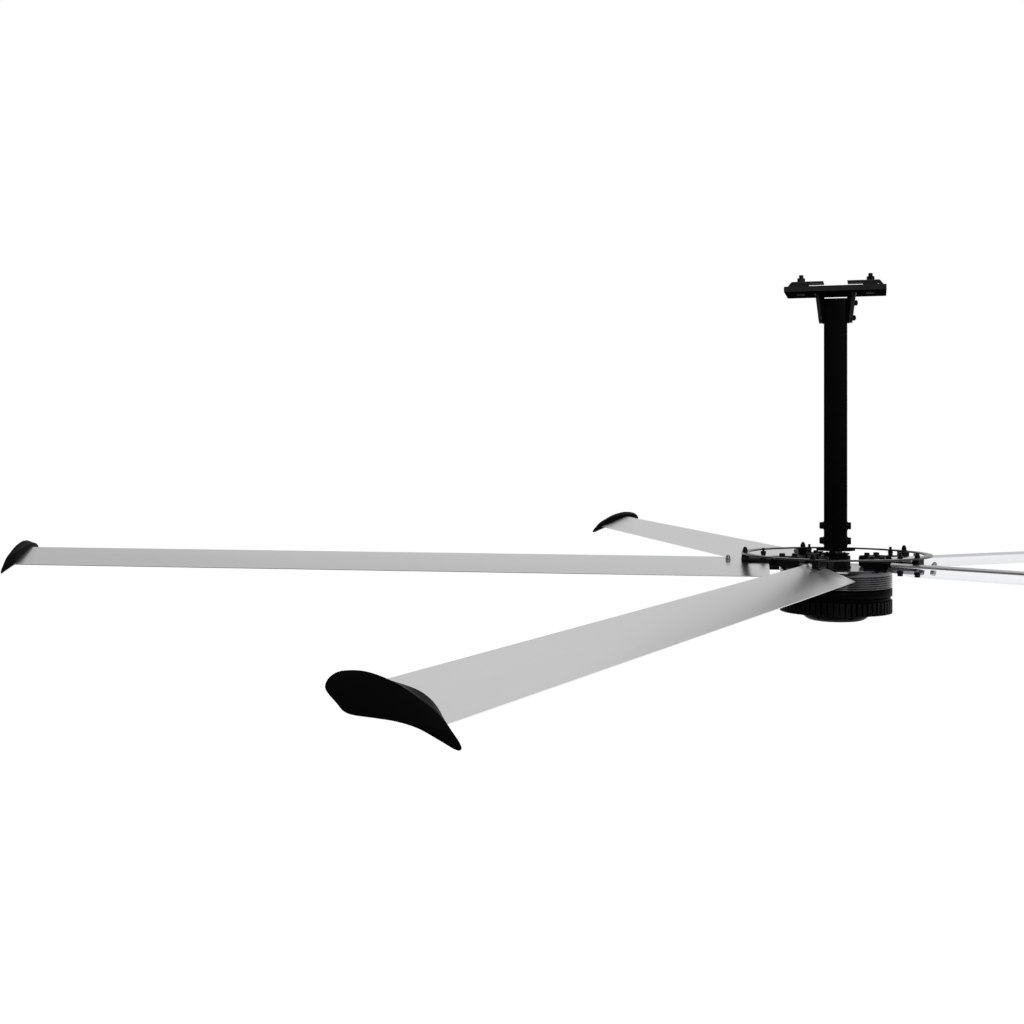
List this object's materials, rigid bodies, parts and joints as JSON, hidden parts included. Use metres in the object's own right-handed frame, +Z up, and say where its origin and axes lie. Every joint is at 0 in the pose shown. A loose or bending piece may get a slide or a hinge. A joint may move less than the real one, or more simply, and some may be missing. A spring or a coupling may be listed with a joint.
{
  "type": "industrial ceiling fan",
  "caption": "Large industrial ceiling fan hung from a roof beam by a clamp plate and square down tube, with long pitched aluminium blades, upturned winglets and a finned motor.",
  "frame": {"origin": "centre of the mounting plate's top face, where the roof beam's lower flange rests", "axes": "+Z up along the fan's axis, +X along the line of the two beam clamps, +Y along the beam"},
  "size_m": [5.7908, 5.8762, 1.206],
  "materials": {
    "black_paint": "satin black powder coat",
    "black_fasteners": "black oxide",
    "grey_steel": "turned",
    "black_aluminium": "satin black on cast aluminium",
    "bare_aluminium": "turned",
    "blade_aluminium": "silver anodised, satin",
    "winglet_plastic": "fine moulded texture",
    "zinc_plate": "zinc plated",
    "bearing_steel": "ground",
    "stator_steel": "stacked laminations",
    "copper_wire": "enamelled copper wire",
    "magnet_nickel": "nickel plated",
    "board_green": "solder mask"
  },
  "bodies": {
    "frame": {"mounting_plate": "black_paint", "beam_clamp_left": "black_paint", "beam_clamp_right": "black_paint", "clamp_studs": "black_fasteners", "clamp_nuts": "black_fasteners", "plain_washers": "black_fasteners", "yoke_ear_left": "black_paint", "yoke_ear_right": "black_paint", "yoke_bolts": "black_fasteners", "yoke_nuts": "black_fasteners", "yoke_packers": "black_paint", "down_tube": "black_paint", "tube_spigot": "grey_steel", "tube_bolts": "black_fasteners", "tube_nuts": "black_fasteners", "motor_shaft": "grey_steel", "stator_carrier": "bare_aluminium", "stator_core": "stator_steel", "stator_coils": "copper_wire", "bearing_inner_rings": "bearing_steel", "drive_cover": "black_aluminium", "drive_housing": "black_aluminium", "controller_board": "board_green", "bottom_cap": "black_aluminium", "cap_screws": "black_fasteners", "shaft_nut": "grey_steel"},
    "rotor": {"rotor_shell": "bare_aluminium", "rotor_band": "black_aluminium", "rotor_magnets": "magnet_nickel", "bearing_housing": "black_aluminium", "bearing_cap": "black_aluminium", "bearing_outer_rings": "bearing_steel", "blade_holder_1": "black_paint", "blade_holder_2": "black_paint", "blade_holder_3": "black_paint", "blade_holder_4": "black_paint", "blade_holder_5": "black_paint", "upper_arm_1": "black_paint", "upper_arm_2": "black_paint", "upper_arm_3": "black_paint", "upper_arm_4": "black_paint", "upper_arm_5": "black_paint", "blade_1": "blade_aluminium", "blade_2": "blade_aluminium", "blade_3": "blade_aluminium", "blade_4": "blade_aluminium", "blade_5": "blade_aluminium", "winglet_1": "winglet_plastic", "winglet_2": "winglet_plastic", "winglet_3": "winglet_plastic", "winglet_4": "winglet_plastic", "winglet_5": "winglet_plastic", "lower_straps": "zinc_plate", "safety_ring": "black_paint", "ring_wedges": "black_paint", "arm_bolts": "black_fasteners", "blade_bolts": "black_fasteners", "blade_nuts": "black_fasteners", "outer_fasteners": "zinc_plate", "winglet_screws": "black_fasteners"}
  },
  "joints": [
    {"name": "rotor_spin", "type": "hinge", "parent": "frame", "child": "rotor", "pos_m": [0, 0, -0.95], "axis": [0, 0, 1], "continuous": true}
  ]
}
